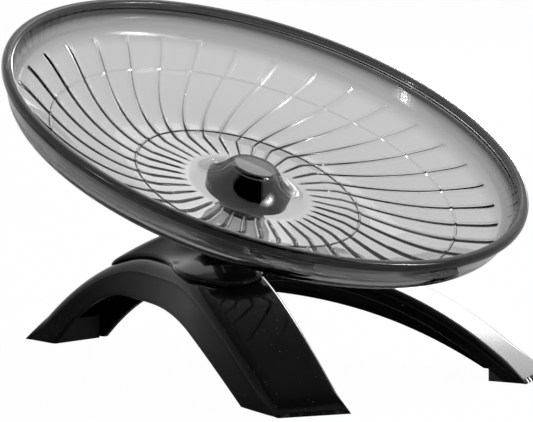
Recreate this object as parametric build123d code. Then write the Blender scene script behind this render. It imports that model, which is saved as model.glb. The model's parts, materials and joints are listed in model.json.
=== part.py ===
from build123d import *
import math
import os

# Running saucer for small pets: a clear dish with swirled foot ribs turns on two small
# ball bearings, on an axle that leans out of an arched three-legged stand.
# Millimetres, +Z up, +X towards the low side of the dish, which is also between the two
# front legs. The origin lies on the table, under the middle of the whole object.

# Overall pose
tilt_angle = 25.5              # lean of the spin axis from the vertical
rim_height = 81.0              # table to the middle of the rim
axis_cross_height = 13.4       # where the spin axis passes over the meeting point of the legs

# Dish
rim_radius = 90.0              # outside of the rounded rim bead
bead_width = 3.3
bead_height = 3.4
bead_round = 1.4
dish_wall = 2.0
floor_depth = 22.4             # rim plane down to the flat floor
floor_flat_radius = 38.6       # the floor is flat out to here, then curves upwards
floor_curve_radius = 72.6
floor_slope = 26.0             # slope of the outer floor
wall_slope = 75.0              # slope of the steep side wall
corner_radius = 84.0           # where the outer floor meets the side wall
corner_round = 5.0

# Raised centre of the dish
dome_depth = 14.0              # rim plane down to the flat top of the raised centre
flare_start_radius = 21.5
flare_round = 14.0
dome_slope = 50.0
shoulder_round = 2.3

# Foot ribs on the running surface
rib_count = 36
rib_width = 0.9
rib_height = 0.7
rib_inner_radius = 22.2
rib_outer_radius = 82.6
rib_phase = 6.3                # direction of the first rib's outer end
swirl_twist = 21.0             # how far a rib turns between its two ends
swirl_start_radius = 34.0
swirl_end_radius = 80.0
swirl_power_share = 1.3
swirl_radius_shares = (0, 0.2, 0.38, 0.52, 0.66, 0.8, 0.92, 1)
ring_rib_width = 1.4
ring_rib_height = 1.0
ring_rib_radii = (38.6, 69.7)

# Ball bearings, two alike
bearing_bore_radius = 3.0
bearing_outer_radius = 6.5
bearing_width = 5.0
inner_land_radius = 4.1
outer_land_radius = 5.4
ball_radius = 1.2
ball_count = 8
groove_clearance = 0.05
cage_wall = 0.6
cage_width = 3.4
pocket_clearance = 0.08
shield_thickness = 0.3
shield_seat = 0.5
shield_gap = 0.15
race_fit = 0.02                # running clearance of a race on the axle or in its seat
race_edge = 0.25

# Bearing carrier, which fills the raised centre from below
carrier_radius = 8.3
carrier_top_gap = 0.3          # carrier top to the underside of the raised centre
carrier_top_wall = 1.2
bearing_spread = 5.0           # distance between the two bearings
carrier_flange_radius = 14.0
carrier_flange_thickness = 1.8
retainer_thickness = 1.4
retainer_bore_radius = 5.0
seat_gap = 0.1                 # between pieces of one body that are pushed together

# Axle
screw_head_height = 1.6
screw_head_radius = 2.6
screw_radius = 1.5
screw_length = 8.0
screw_gap = 0.4                # screw head to the carrier's closed top
washer_thickness = 0.7
washer_radius = 3.9
driver_recess_radius = 2.0     # half the length of a slot of the crossed recess
driver_recess_width = 1.0
driver_recess_depth = 0.9
shoulder_radius = 4.1
shoulder_length = 3.0
shank_radius = 4.0
shank_length = 9.0

# Axle post, hidden under the cover
post_radius = 6.5
post_foot_radius = 9.4
post_foot_height = 3.7
post_foot_setback = 1.0        # middle of the foot behind the spin axis
post_fit = 0.02
post_screw_circle = 6.6
post_screw_angles = (60, 180, 300)
post_screw_radius = 1.4
post_screw_head_radius = 2.8
post_screw_head_height = 1.8
post_screw_length = 5.5
screw_hole_clearance = 0.15

# Stand legs, measured from the point where their centre lines meet
leg_top_height = 35.6
leg_wall = 2.2
rear_leg_length = 82.3
rear_level_length = 6.5        # level stretch before the leg bends down
front_leg_length = 118.4
front_level_length = 30.3
front_leg_angle = 25.0         # each front leg off the middle plane
front_leg_bow = 6.4            # sideways bow of a front leg at its middle
leg_root_width = 31.0
leg_foot_width = 23.6
leg_root_overlap = 4.0
side_web_round = 55.0
front_web_round = 9.0
side_arch_height = 22.1        # underside of the wide arches
side_arch_level = 20.0
rear_arch_reach = 65.9
front_side_arch_reach = 95.1
front_arch_height = 30.2       # underside of the narrow arch between the front legs
front_arch_level = 28.7
front_arch_reach = 110.0

# Rubber foot pads
pad_proud = 0.4                # the pads stand this far below the plastic feet
pad_clearance = 0.2
pad_length = 11.0
pad_height = 8.0
pad_back = 4.0                 # tip of the leg to the pad

# Cover over the roots of the legs
cover_wall = 2.0
cover_lip = 1.4                # height of the cover's edge over the legs
cover_inset = 1.0              # edge of the cover inside the sides of the legs
cover_reach_rear = 42.0
cover_reach_front = 56.0
hill_reach_rear = 37.0
hill_reach_front = 49.0
hill_inset = 3.0
lobe_root = 20.0               # first place on a leg that shapes the lobed edges
lobe_shoulder_back = 8.5       # shoulders of a lobe behind its tip
lobe_shoulder_draw = 1.2
side_web = 18.0                # hollows between the lobes, from the middle of the stand
side_web_angle = 110.0
front_web = 33.0
hill_base_height = 33.0
hill_base_pitch = 3.4
hill_sag = 1.2                 # how far the flanks hang below straight lines
hill_middle_share = 0.45
hill_points = 24
collar_radius = 11.5
collar_foot_radius = 12.6
collar_length = 4.6
collar_sunk = 1.5              # how far the collar reaches into the hill
collar_step = 0.4
collar_aim = 6.0               # middle of the stand to where the hill's flanks aim
collar_gap = 0.5               # cover top to the retainer that turns above it
collar_round = 1.0
post_clearance = 0.4
peg_radius = 1.8
peg_clearance = 0.1
peg_length = 4.5               # below the top of the stand
peg_circle_rear = 24.0
peg_circle_front = 34.0

overrun = 5.0                  # how far cutters pass the faces that they cut
far_reach = 150.0              # larger than the stand


# Heights along the spin axis, from the rim plane, downwards negative
dome_underside = -dome_depth - dish_wall
carrier_top = dome_underside - carrier_top_gap
screw_head_top = carrier_top - carrier_top_wall - screw_gap
upper_race_top = screw_head_top - screw_head_height - washer_thickness
lower_race_top = upper_race_top - bearing_width - bearing_spread
lower_race_bottom = lower_race_top - bearing_width
retainer_bottom = lower_race_bottom - retainer_thickness
shank_top = lower_race_bottom - shoulder_length
collar_top = retainer_bottom - collar_gap

collar_foot = collar_top - collar_length

# Places of the spin axis over the table
lean = math.radians(tilt_angle)
rim_offset = (rim_height - axis_cross_height) * math.tan(lean)
pitch_radius = (inner_land_radius + outer_land_radius) / 2
post_seat = leg_top_height + seat_gap
post_foot_x = (post_seat - axis_cross_height) * math.tan(lean) - post_foot_setback


def on_side(r, w):
    """Point of a turned profile: radius and height along the axis."""
    return (r, 0, w)


def arc_about(centre, radius, start, end):
    """Arc in the profile plane about a centre, between two angles in degrees."""
    points = []
    for angle in (start, (start + end) / 2, end):
        turn = math.radians(angle)
        points.append(on_side(centre[0] + radius * math.cos(turn), centre[1] + radius * math.sin(turn)))
    return ThreePointArc(*points)


def ring(inner, outer, bottom, top):
    """Plain ring about the Z axis."""
    corners = [(inner, bottom), (outer, bottom), (outer, top), (inner, top), (inner, bottom)]
    profile = Polyline(*[on_side(*corner) for corner in corners])
    return revolve(make_face(profile), Axis.Z)


def disc(radius, bottom, top):
    """Plain cylinder about the Z axis."""
    return Pos(0, 0, bottom) * extrude(Circle(radius), top - bottom)


# Dish surface

def dish_curve(rise):
    """Running surface from the middle to the rim, as edges, moved outwards by rise."""
    floor = -floor_depth
    slope, steep, dome = (math.radians(a) for a in (floor_slope, wall_slope, dome_slope))

    # Raised centre: flat top, rounded shoulder, straight flank and a wide flare
    flank_end = (flare_start_radius - flare_round * math.sin(dome),
                 floor + flare_round * (1 - math.cos(dome)))
    shoulder_reach = shoulder_round * math.tan(dome / 2)
    corner = flank_end[0] - (-dome_depth - flank_end[1]) / math.tan(dome)
    shoulder_centre = (corner - shoulder_reach, -dome_depth - shoulder_round)
    top = Line(on_side(0, -dome_depth + rise), on_side(shoulder_centre[0], -dome_depth + rise))
    shoulder = arc_about(shoulder_centre, shoulder_round + rise, 90, 90 - dome_slope)
    flare_centre = (flare_start_radius, floor + flare_round)
    flare = arc_about(flare_centre, flare_round - rise, 270 - dome_slope, 270)
    flank = Line(shoulder @ 1, flare @ 0)

    # Floor: flat, then one long curve, then a straight slope
    curve_centre = (floor_flat_radius, floor + floor_curve_radius)
    curve = arc_about(curve_centre, floor_curve_radius - rise, 270, 270 + floor_slope)
    flat = Line(flare @ 1, curve @ 0)

    # Side wall, with a rounded corner at its foot
    curve_end = (curve_centre[0] + floor_curve_radius * math.sin(slope),
                 curve_centre[1] - floor_curve_radius * math.cos(slope))
    corner_height = curve_end[1] + (corner_radius - curve_end[0]) * math.tan(slope)
    reach = corner_round * math.tan((steep - slope) / 2)
    corner_centre = (corner_radius - reach * math.cos(slope) - corner_round * math.sin(slope),
                     corner_height - reach * math.sin(slope) + corner_round * math.cos(slope))
    bend = arc_about(corner_centre, corner_round - rise, 270 + floor_slope, 270 + wall_slope)
    outer_floor = Line(curve @ 1, bend @ 0)
    climb = bead_height / 2 - (bend @ 1).Z
    wall = Line(bend @ 1, on_side((bend @ 1).X + climb / math.tan(steep), bead_height / 2))
    return [top, shoulder, flank, flare, flat, curve, outer_floor, bend, wall]


def between_curves(low, high):
    """Turned layer between two heights over the running surface."""
    lower, upper = dish_curve(low), dish_curve(high)
    middle = Line(lower[0] @ 0, upper[0] @ 0)
    rim = Line(lower[-1] @ 1, upper[-1] @ 1)
    return revolve(make_face(Wire([*lower, rim, *upper, middle])), Axis.Z)


def below_curve(rise):
    """Turned solid below a height over the running surface."""
    curve = dish_curve(rise)
    start, end = curve[0] @ 0, curve[-1] @ 1
    floor = -floor_depth - far_reach
    sides = Polyline(end, on_side(end.X, floor), on_side(start.X, floor), start)
    return revolve(make_face(Wire([*curve, *sides.edges()])), Axis.Z)


def rim_bead():
    """Rounded lip round the edge of the dish."""
    middle = rim_radius - bead_width / 2
    section = Pos(middle, 0, 0) * Rot(90, 0, 0) * RectangleRounded(bead_width, bead_height, bead_round)
    return revolve(section, Axis.Z)


def swirl(radius):
    """Direction of a rib at a radius, in degrees, counted from its outer end."""
    share = (swirl_end_radius - radius) / (swirl_end_radius - swirl_start_radius)
    return swirl_twist * min(1, max(0, share)) ** swirl_power_share


def rib_side(sign):
    """One long edge of a rib, seen from above."""
    points = []
    for share in swirl_radius_shares:
        radius = rib_inner_radius + share * (rib_outer_radius - rib_inner_radius)
        turn = math.radians(swirl(radius)) + sign * rib_width / 2 / radius
        points.append((radius * math.cos(turn), radius * math.sin(turn), -floor_depth - overrun))
    return Spline(*points)


def foot_rib():
    """One swirled rib that follows the running surface."""
    left, right = rib_side(1), rib_side(-1)
    outline = Wire([left, Line(left @ 1, right @ 1), right, Line(right @ 0, left @ 0)])
    blade = extrude(make_face(outline), floor_depth + overrun, dir=(0, 0, 1))
    return blade & between_curves(-dish_wall / 2, rib_height)


def ring_rib(radius):
    """Round rib across the swirled ones."""
    band = ring(radius - ring_rib_width / 2, radius + ring_rib_width / 2, -floor_depth - overrun, 0)
    return band & between_curves(-dish_wall / 2, ring_rib_height)


def running_dish():
    """Clear dish: shell, rim bead and ribs."""
    body = between_curves(-dish_wall, 0) + rim_bead()
    rib = foot_rib()
    ribs = [Rot(0, 0, rib_phase + 360 * k / rib_count) * rib for k in range(rib_count)]
    rings = [ring_rib(radius) for radius in ring_rib_radii]
    return body + ribs + rings


# Ball bearings, drawn with their upper face at zero

def race_groove():
    """Round track that the balls run in."""
    track = Pos(pitch_radius, 0, -bearing_width / 2) * Rot(90, 0, 0) * Circle(ball_radius + groove_clearance)
    return revolve(track, Axis.Z)


def shield_pockets():
    """Steps at both faces of the outer race that hold the shields."""
    reach = outer_land_radius + shield_seat
    upper = ring(inner_land_radius, reach, -shield_thickness, overrun)
    lower = ring(inner_land_radius, reach, -bearing_width - overrun, -bearing_width + shield_thickness)
    return upper + lower


def inner_race():
    """Inner race, a slide fit on the axle."""
    body = ring(bearing_bore_radius, inner_land_radius, -bearing_width, 0)
    body = chamfer(body.edges().filter_by(GeomType.CIRCLE), race_edge)
    return body - race_groove()


def outer_race():
    """Outer race, seated in the carrier."""
    body = ring(outer_land_radius, bearing_outer_radius, -bearing_width, 0)
    pocket = outer_land_radius + shield_seat
    outside = [e for e in body.edges().filter_by(GeomType.CIRCLE) if e.radius > pocket]
    return chamfer(outside, race_edge) - race_groove() - shield_pockets()


def shields():
    """Thin cover rings on both sides of the balls."""
    inner = inner_land_radius + shield_gap
    outer = outer_land_radius + shield_seat
    upper = ring(inner, outer, -shield_thickness, 0)
    return [upper, Pos(0, 0, shield_thickness - bearing_width) * upper]


def ball_places():
    """Middle of each ball."""
    first = Pos(pitch_radius, 0, -bearing_width / 2)
    return [Rot(0, 0, 360 * k / ball_count) * first for k in range(ball_count)]


def balls():
    """Steel balls."""
    return [place * Sphere(ball_radius) for place in ball_places()]


def cage():
    """Ring that keeps the balls apart."""
    middle = -bearing_width / 2
    body = ring(pitch_radius - cage_wall / 2, pitch_radius + cage_wall / 2, middle - cage_width / 2,
                middle + cage_width / 2)
    pocket = Rot(0, 90, 0) * Cylinder(ball_radius + pocket_clearance, 2 * cage_wall)
    return body - [place * pocket for place in ball_places()]


# Pieces on the spin axis

def hub_carrier():
    """Black hub that holds both bearings: a bell that fits the raised centre, on a barrel."""
    bore = bearing_outer_radius + race_fit
    flange_bottom = -floor_depth - dish_wall - seat_gap - carrier_flange_thickness
    bell = disc(carrier_flange_radius, flange_bottom, carrier_top)
    body = bell & below_curve(-dish_wall - seat_gap)
    body += disc(carrier_radius, lower_race_bottom, flange_bottom)
    body -= disc(bore, upper_race_top - bearing_width, carrier_top - carrier_top_wall)
    body -= disc(bore, lower_race_bottom - overrun, lower_race_top)
    return body - disc(outer_land_radius, lower_race_top - overrun, upper_race_top)


def retainer_ring():
    """Ring under the carrier that keeps the lower bearing in."""
    return ring(retainer_bore_radius, carrier_radius, retainer_bottom, lower_race_bottom)


def axle_pin():
    """Steel axle: bearing seat, shoulder under the lower race and a shank in the post."""
    seat = disc(bearing_bore_radius - race_fit, lower_race_bottom, upper_race_top)
    shoulder = disc(shoulder_radius, shank_top, lower_race_bottom)
    shank = disc(shank_radius, shank_top - shank_length, shank_top)
    hole = disc(screw_radius, upper_race_top - screw_length, upper_race_top)
    return seat + shoulder + shank - hole


def axle_spacer():
    """Tube between the two inner races."""
    inner = bearing_bore_radius + race_fit
    return ring(inner, inner_land_radius, lower_race_top, lower_race_top + bearing_spread)


def axle_washer():
    """Washer on the upper inner race."""
    return ring(screw_radius + race_fit, washer_radius, upper_race_top, upper_race_top + washer_thickness)


def cross_recess(top):
    """Crossed slots in a screw head, below a height."""
    middle = top - driver_recess_depth / 2
    slot = Pos(0, 0, middle) * Box(2 * driver_recess_radius, driver_recess_width, driver_recess_depth)
    return slot + Rot(0, 0, 90) * slot


def axle_screw():
    """Pan-head screw in the end of the axle."""
    base = upper_race_top + washer_thickness
    head = disc(screw_head_radius, base, base + screw_head_height)
    head = fillet(head.edges().group_by(Axis.Z)[-1], screw_head_height / 2)
    head -= cross_recess(base + screw_head_height)
    return head + disc(screw_radius - race_fit, base - screw_length + washer_thickness, base)


# Stand

def leg_bow(length, bow, along):
    """Sideways place of a leg's centre line at a distance along it."""
    share = along / length
    return 4 * bow * share * (1 - share)


def leg_side(length, bow, sign, inset):
    """One edge of a leg seen from above, moved inwards by inset."""
    reach = length + overrun
    places = []
    for along in (-leg_root_overlap, (reach - leg_root_overlap) / 2, reach):
        width = leg_root_width + (leg_foot_width - leg_root_width) * along / length
        places.append((along, leg_bow(length, bow, along) + sign * (width / 2 - inset)))
    return Spline(*places) if bow else Line(places[0], places[-1])


def leg_plan(length, bow, inset):
    """Outline of one leg seen from above, along +X."""
    left, right = leg_side(length, bow, 1, inset), leg_side(length, bow, -1, inset)
    return make_face(Wire([left, Line(left @ 1, right @ 1), right, Line(right @ 0, left @ 0)]))


def stand_plan(inset):
    """Outline of the stand seen from above, with the corners between the legs rounded."""
    rear = Rot(0, 0, 180) * leg_plan(rear_leg_length, 0, inset)
    left = Rot(0, 0, front_leg_angle) * leg_plan(front_leg_length, front_leg_bow, inset)
    right = Rot(0, 0, -front_leg_angle) * leg_plan(front_leg_length, -front_leg_bow, inset)
    plan = rear + left + right
    near = [v for v in plan.vertices() if math.hypot(v.X, v.Y) < rear_leg_length / 2]
    front = max(near, key=lambda v: v.X)
    sides = [v for v in near if v is not front]
    plan = fillet(sides, side_web_round + inset)
    near = [v for v in plan.vertices() if abs(v.Y) < seat_gap and v.X > 0]
    return fillet(near, front_web_round + inset)


def arch(height, level, reach, low, high):
    """Solid below an arch that is level, then bends down to the table.

    It runs along +X, between two sideways places.
    """
    fall = 2 * height / (reach - level)
    outlines = []
    for side in (low, high):
        bend = Bezier((level, side, height), ((level + reach) / 2, side, height), (reach, side, 0))
        below = -fall * overrun
        rest = Polyline((reach, side, 0), (reach + overrun, side, below), (-far_reach, side, below),
                        (-far_reach, side, height), (level, side, height))
        outlines.append(Wire([bend, *rest.edges()]))
    return Solid.make_loft(outlines, ruled=True)


def half_space(x_sign, y_sign):
    """Large box on one side of the middle planes; a sign of 0 keeps both sides."""
    size = 2 * far_reach
    return Pos(x_sign * far_reach, y_sign * far_reach, 0) * Box(size, size, size)


def both_front(part):
    """A front leg's solid, kept to its own side, and its mirror image."""
    right = part & half_space(1, -1)
    return right + mirror(right, Plane.XZ)


def crown_halves(drop):
    """Solids below the upper surface of the rear leg and of the left front leg, lowered by drop."""
    steep = 1 + leg_top_height / (front_leg_length - front_level_length)
    height = leg_top_height - drop
    rear = arch(height, rear_level_length, rear_leg_length - steep * drop, -far_reach, far_reach)
    left = arch(height, front_level_length, front_leg_length - steep * drop, -far_reach, far_reach)
    # The two overlap on the level top, so that no seam is left between them
    behind = Pos(overrun, 0, 0) * half_space(-1, 0)
    return (Rot(0, 0, 180) * rear) & behind, (Rot(0, 0, front_leg_angle) * left) & half_space(1, 0)


def leg_crown(drop):
    """Solids below the upper surfaces of the rear leg and of both front legs, lowered by drop."""
    rear, left = crown_halves(drop)
    left = left & half_space(0, 1)
    return rear, left + mirror(left, Plane.XZ)


def below_crown(solid, drop):
    """The part of a solid that lies below the upper surface of the legs."""
    rear, front = leg_crown(drop)
    return (solid & rear) + (solid & front)


def stand_block(inset, bottom, top):
    """Upright block on the outline of the stand, inset from its sides."""
    return extrude(Pos(0, 0, bottom) * stand_plan(inset), top - bottom)


def arch_openings():
    """Everything that is cut away under the side walls of the legs."""
    rear = Rot(0, 0, 180) * arch(side_arch_height, side_arch_level, rear_arch_reach, -far_reach, far_reach)
    outer = arch(side_arch_height, side_arch_level, front_side_arch_reach, -far_reach, 0)
    inner = arch(front_arch_height, front_arch_level, front_arch_reach, 0, far_reach)
    turned = Rot(0, 0, -front_leg_angle) * (outer + inner)
    return (rear & half_space(-1, 0)) + both_front(turned)


def tripod_base():
    """One moulding: three arched legs, hollow below, with a flat top for the post."""
    top = leg_top_height + overrun
    outer = below_crown(stand_block(0, pad_proud, top), 0)
    hollow = below_crown(stand_block(leg_wall, -overrun, top), leg_wall)
    body = outer - hollow - arch_openings()
    under = leg_top_height - leg_wall - overrun
    screw_hole = disc(post_screw_radius + screw_hole_clearance, under, top)
    peg_hole = disc(peg_radius + peg_clearance, under, top)
    holes = [place * screw_hole for place in post_screw_places()]
    holes += [place * peg_hole for place in peg_places()]
    return body - holes


def pad_band(angle, length, bow):
    """Stretch of a leg near its tip, as a block."""
    middle = length - pad_back - pad_length / 2
    block = Box(pad_length, leg_foot_width + overrun, pad_height)
    return Rot(0, 0, angle) * Pos(middle, leg_bow(length, bow, middle), pad_height / 2) * block


def foot_pad(angle, length, bow):
    """Rubber block that fills the hollow of one foot and stands a little below it."""
    inset = leg_wall + pad_clearance
    block = stand_block(inset, 0, pad_height) & pad_band(angle, length, bow)
    rear, front = leg_crown(inset)
    return block & (front if bow else rear)


def foot_pads():
    """The three pads: rear, left and right."""
    return [foot_pad(180, rear_leg_length, 0),
            foot_pad(front_leg_angle, front_leg_length, front_leg_bow),
            foot_pad(-front_leg_angle, front_leg_length, -front_leg_bow)]


# Axle post

def tilted(part):
    """Move a piece drawn along the spin axis into its place over the table."""
    down = Pos(rim_offset, 0, rim_height) * Rot(0, tilt_angle, 0)
    return down * part


def tilted_point(point):
    """Place over the table of a point given along the spin axis."""
    along, up = math.sin(lean), math.cos(lean)
    x = rim_offset + point.X * up + point.Z * along
    return (x, point.Y, rim_height - point.X * along + point.Z * up)


def post_screw_places():
    """Places of the screws that hold the post, seen from above."""
    foot, out = Pos(post_foot_x, 0, 0), Pos(post_screw_circle, 0, 0)
    return [foot * Rot(0, 0, angle) * out for angle in post_screw_angles]


def post_screws():
    """Screws from below, through the stand, into the foot of the post."""
    seat = leg_top_height - leg_wall - seat_gap
    head = disc(post_screw_head_radius, seat - post_screw_head_height, seat)
    head = fillet(head.edges().group_by(Axis.Z)[0], post_screw_head_height / 2)
    head -= cross_recess(seat - post_screw_head_height + driver_recess_depth)
    shank = disc(post_screw_radius - post_fit, seat, seat + post_screw_length)
    return [place * (head + shank) for place in post_screw_places()]


def axle_post():
    """Leaning post with a round foot that stands on the legs' flat top."""
    foot = Pos(post_foot_x, 0, 0) * disc(post_foot_radius, post_seat, post_seat + post_foot_height)
    length = (shank_top + rim_height / math.cos(lean)) - post_seat
    barrel = tilted(disc(post_radius, shank_top - length, shank_top))
    body = foot + (barrel & half_above(post_seat))
    bore = tilted(disc(shank_radius + post_fit, shank_top - shank_length - seat_gap, shank_top + overrun))
    screw_hole = disc(post_screw_radius, post_seat - overrun, post_seat + post_screw_length - leg_wall)
    return body - bore - [place * screw_hole for place in post_screw_places()]


def half_above(height):
    """Large box above a height."""
    size = 2 * far_reach
    return Pos(0, 0, height + far_reach) * Box(size, size, size)


# Cover

def lobe(angle, length, bow, reach, inset):
    """Points of a lobed edge on one leg: sides, shoulders and tip, seen from above."""
    flat = []
    for sign in (-1, 1):
        side = []
        for along, extra in ((lobe_root, 0), (reach - lobe_shoulder_back, lobe_shoulder_draw)):
            width = leg_root_width + (leg_foot_width - leg_root_width) * along / length
            side.append((along, leg_bow(length, bow, along) + sign * (width / 2 - inset - extra)))
        flat += side if sign < 0 else side[::-1]
    flat.insert(2, (reach, leg_bow(length, bow, reach)))
    turn = math.radians(angle)
    c, s = math.cos(turn), math.sin(turn)
    return [(x * c - y * s, x * s + y * c) for x, y in flat]


def lobed_outline(reach_rear, reach_front, inset):
    """Closed curve over the roots of the three legs, seen from above."""
    side = math.radians(side_web_angle)
    web_x, web_y = ((side_web - inset) * f(side) for f in (math.cos, math.sin))
    points = [(front_web - inset, 0)]
    # The inner side of a front lobe starts at its shoulder, past the corner between the legs
    points += lobe(front_leg_angle, front_leg_length, front_leg_bow, reach_front, inset)[1:]
    points += [(web_x, web_y)]
    points += lobe(180, rear_leg_length, 0, reach_rear, inset)
    points += [(web_x, -web_y)]
    points += lobe(-front_leg_angle, front_leg_length, -front_leg_bow, reach_front, inset)[:-1]
    return make_face(Spline(*points, periodic=True))


def cover_slab():
    """Left half of a thin layer on top of the legs, within the cover's edge."""
    outline = lobed_outline(cover_reach_rear, cover_reach_front, cover_inset)
    block = extrude(outline, leg_top_height + overrun) & half_space(0, 1)
    rear, left = crown_halves(-cover_lip)
    layer = (block & rear) + (block & left)
    rear, left = crown_halves(-seat_gap)
    return layer - rear - left


def hill_edge(inset):
    """Foot of one half of the hill, from its front to its tail, as points seen from above."""
    outline = lobed_outline(hill_reach_rear - inset, hill_reach_front - inset, hill_inset + inset)
    half = outline & half_space(0, 1)
    edge = max(half.edges(), key=lambda e: e.length)
    points = [edge @ (k / hill_points) for k in range(hill_points + 1)]
    return points if points[0].X > points[-1].X else points[::-1]


def hill(inset):
    """Left half of the hill from the lobed edge up to the round collar, smaller by inset."""
    pitch = math.tan(math.radians(hill_base_pitch))
    low, middle, high = [], [], []
    edge = hill_edge(inset)
    for k, point in enumerate(edge):
        base = Vector(point.X, point.Y, hill_base_height + pitch * point.X - inset)
        # Straight between the edge seen from above and the circle, but for equal turns
        turn = math.atan2(point.Y, point.X - collar_aim)
        reach = collar_foot_radius - inset
        spot = Vector(reach * math.cos(turn), reach * math.sin(turn), collar_foot - inset)
        top = Vector(*tilted_point(spot))
        low.append(base)
        high.append(top)
        middle.append(base + (top - base) * hill_middle_share - Vector(0, 0, hill_sag))
    sections = [Wire([Spline(*points), Line(points[-1], points[0])]) for points in (low, middle, high)]
    return Solid.make_loft(sections, ruled=True)


def peg_places():
    """Places of the cover's pegs, seen from above."""
    left, right = (Rot(0, 0, a) * Pos(peg_circle_front, 0, 0) for a in (front_leg_angle, -front_leg_angle))
    return [Pos(-peg_circle_rear, 0, 0), left, right]


def collar():
    """Round boss on the hill, in line with the spin axis, open for the post."""
    low, high = collar_foot - collar_sunk, collar_top
    corners = [(0, low), (collar_foot_radius - collar_step, low), (collar_radius, high), (0, high), (0, low)]
    sides = Polyline(*[on_side(*corner) for corner in corners])
    body = revolve(make_face(sides), Axis.Z)
    return fillet(body.edges().group_by(Axis.Z)[-1], collar_round)


def tilt_cover():
    """Cover that rises from the legs to the collar, with pegs into the stand."""
    outer, inner = hill(0), hill(cover_wall)
    rear, left = crown_halves(-seat_gap)
    half = half_space(0, 1)
    body = (outer - rear - left) + (tilted(collar()) & half)
    body += cover_slab()
    bore = tilted(disc(post_radius + post_clearance, collar_foot - collar_length, collar_top + overrun))
    body = body - inner - bore
    low = leg_top_height - peg_length
    for place in peg_places()[:2]:
        stem = place * disc(peg_radius, low, leg_top_height + collar_length + overrun) & half
        body += (stem & outer) + (place * disc(peg_radius, low, leg_top_height) & half)
    return body + mirror(body, Plane.XZ)


# Put everything in place

def bearing(top, name):
    """The pieces of one bearing, placed along the spin axis."""
    pieces = {"inner_race": inner_race(), "outer_race": outer_race(), "cage": cage(), "balls": balls()}
    pieces["upper_shield"], pieces["lower_shield"] = shields()
    placed = {}
    for piece, solid in pieces.items():
        solids = solid if isinstance(solid, list) else [solid]
        placed[f"{name}_{piece}"] = [tilted(Pos(0, 0, top) * one) for one in solids]
    return placed


def whole_object():
    """Every named node with its solids, before it is moved to the final origin."""
    nodes = {"tripod_base": [tripod_base()], "tilt_cover": [tilt_cover()]}
    for name, pad in zip(("rear", "left", "right"), foot_pads()):
        nodes[f"foot_pad_{name}"] = [pad]
    nodes["axle_post"] = [axle_post()]
    nodes["post_screws"] = post_screws()
    stack = {"axle_pin": axle_pin, "axle_spacer": axle_spacer, "axle_washer": axle_washer,
             "axle_screw": axle_screw, "hub_carrier": hub_carrier, "retainer_ring": retainer_ring,
             "running_dish": running_dish}
    for name, maker in stack.items():
        nodes[name] = [tilted(maker())]
    nodes.update(bearing(upper_race_top, "upper"))
    nodes.update(bearing(lower_race_top, "lower"))
    return nodes


def middle_of(solids):
    """Middle of the common bounding box, along X."""
    boxes = [solid.bounding_box() for solid in solids]
    return (min(box.min.X for box in boxes) + max(box.max.X for box in boxes)) / 2


if __name__ == "__main__":
    os.makedirs("parts", exist_ok=True)
    nodes = whole_object()
    outside = nodes["tripod_base"] + nodes["running_dish"]
    home = Pos(-middle_of(outside), 0, 0)
    for name, solids in nodes.items():
        placed = [one for solid in solids for one in (home * solid).solids()]
        export_step(Compound(placed), f"parts/{name}.step")
        print(name, len(placed))
    print("moved along X by", -middle_of(outside))
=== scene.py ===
"""Running saucer for small pets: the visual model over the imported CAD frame.

The dish, the stand, its cover and the hub are surfaces worked out here; the small turned parts
are the CAD's own nodes with better finishes. The object's sizes are in millimetres, the meshes
and the studio in metres, all in the CAD's own frame.
"""

import json
import logging
import math
from dataclasses import dataclass
from enum import Enum
from typing import Any, Callable, Sequence

import bpy
import numpy as np
from mathutils import Matrix, Vector


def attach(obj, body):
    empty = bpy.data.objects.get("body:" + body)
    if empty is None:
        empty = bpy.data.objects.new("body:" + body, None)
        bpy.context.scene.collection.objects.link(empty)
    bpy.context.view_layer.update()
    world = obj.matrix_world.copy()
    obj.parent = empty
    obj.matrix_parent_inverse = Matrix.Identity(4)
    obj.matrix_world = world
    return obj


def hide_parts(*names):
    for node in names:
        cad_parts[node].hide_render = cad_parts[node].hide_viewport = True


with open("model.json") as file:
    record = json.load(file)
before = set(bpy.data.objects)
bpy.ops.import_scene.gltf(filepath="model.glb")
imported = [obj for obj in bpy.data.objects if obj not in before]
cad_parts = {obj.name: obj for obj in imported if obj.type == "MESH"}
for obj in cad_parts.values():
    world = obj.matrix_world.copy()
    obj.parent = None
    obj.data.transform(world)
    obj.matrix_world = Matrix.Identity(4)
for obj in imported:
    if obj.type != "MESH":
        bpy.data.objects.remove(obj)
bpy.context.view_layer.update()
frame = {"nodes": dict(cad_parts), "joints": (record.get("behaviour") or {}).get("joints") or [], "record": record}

log = logging.getLogger("saucer")
MM = 0.001
Array = np.ndarray

# Points closer than this, in metres, become one
MERGE_DISTANCE = 1e-7
# Angles in degrees: a quarter turn, and the directions in a profile
QUARTER = 90.0
UP, DOWN = QUARTER, 3 * QUARTER
# Noise to this power keeps only its brightest patches
PATCH_POWER = 3.0
# A colour Mix node's sockets go by number, because their names repeat
MIX_LOW, MIX_HIGH, MIX_RESULT = 6, 7, 2
SOFT_DETAIL, RICH_DETAIL = 2.0, 3.0


class Body(Enum):
    """The moving bodies that pieces ride on."""

    STAND = "stand"
    DISH = "dish"


class Side(Enum):
    """The two edges of a leg, seen outwards from the middle of the stand."""

    RIGHT = -1
    LEFT = 1


# Shader building

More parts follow.
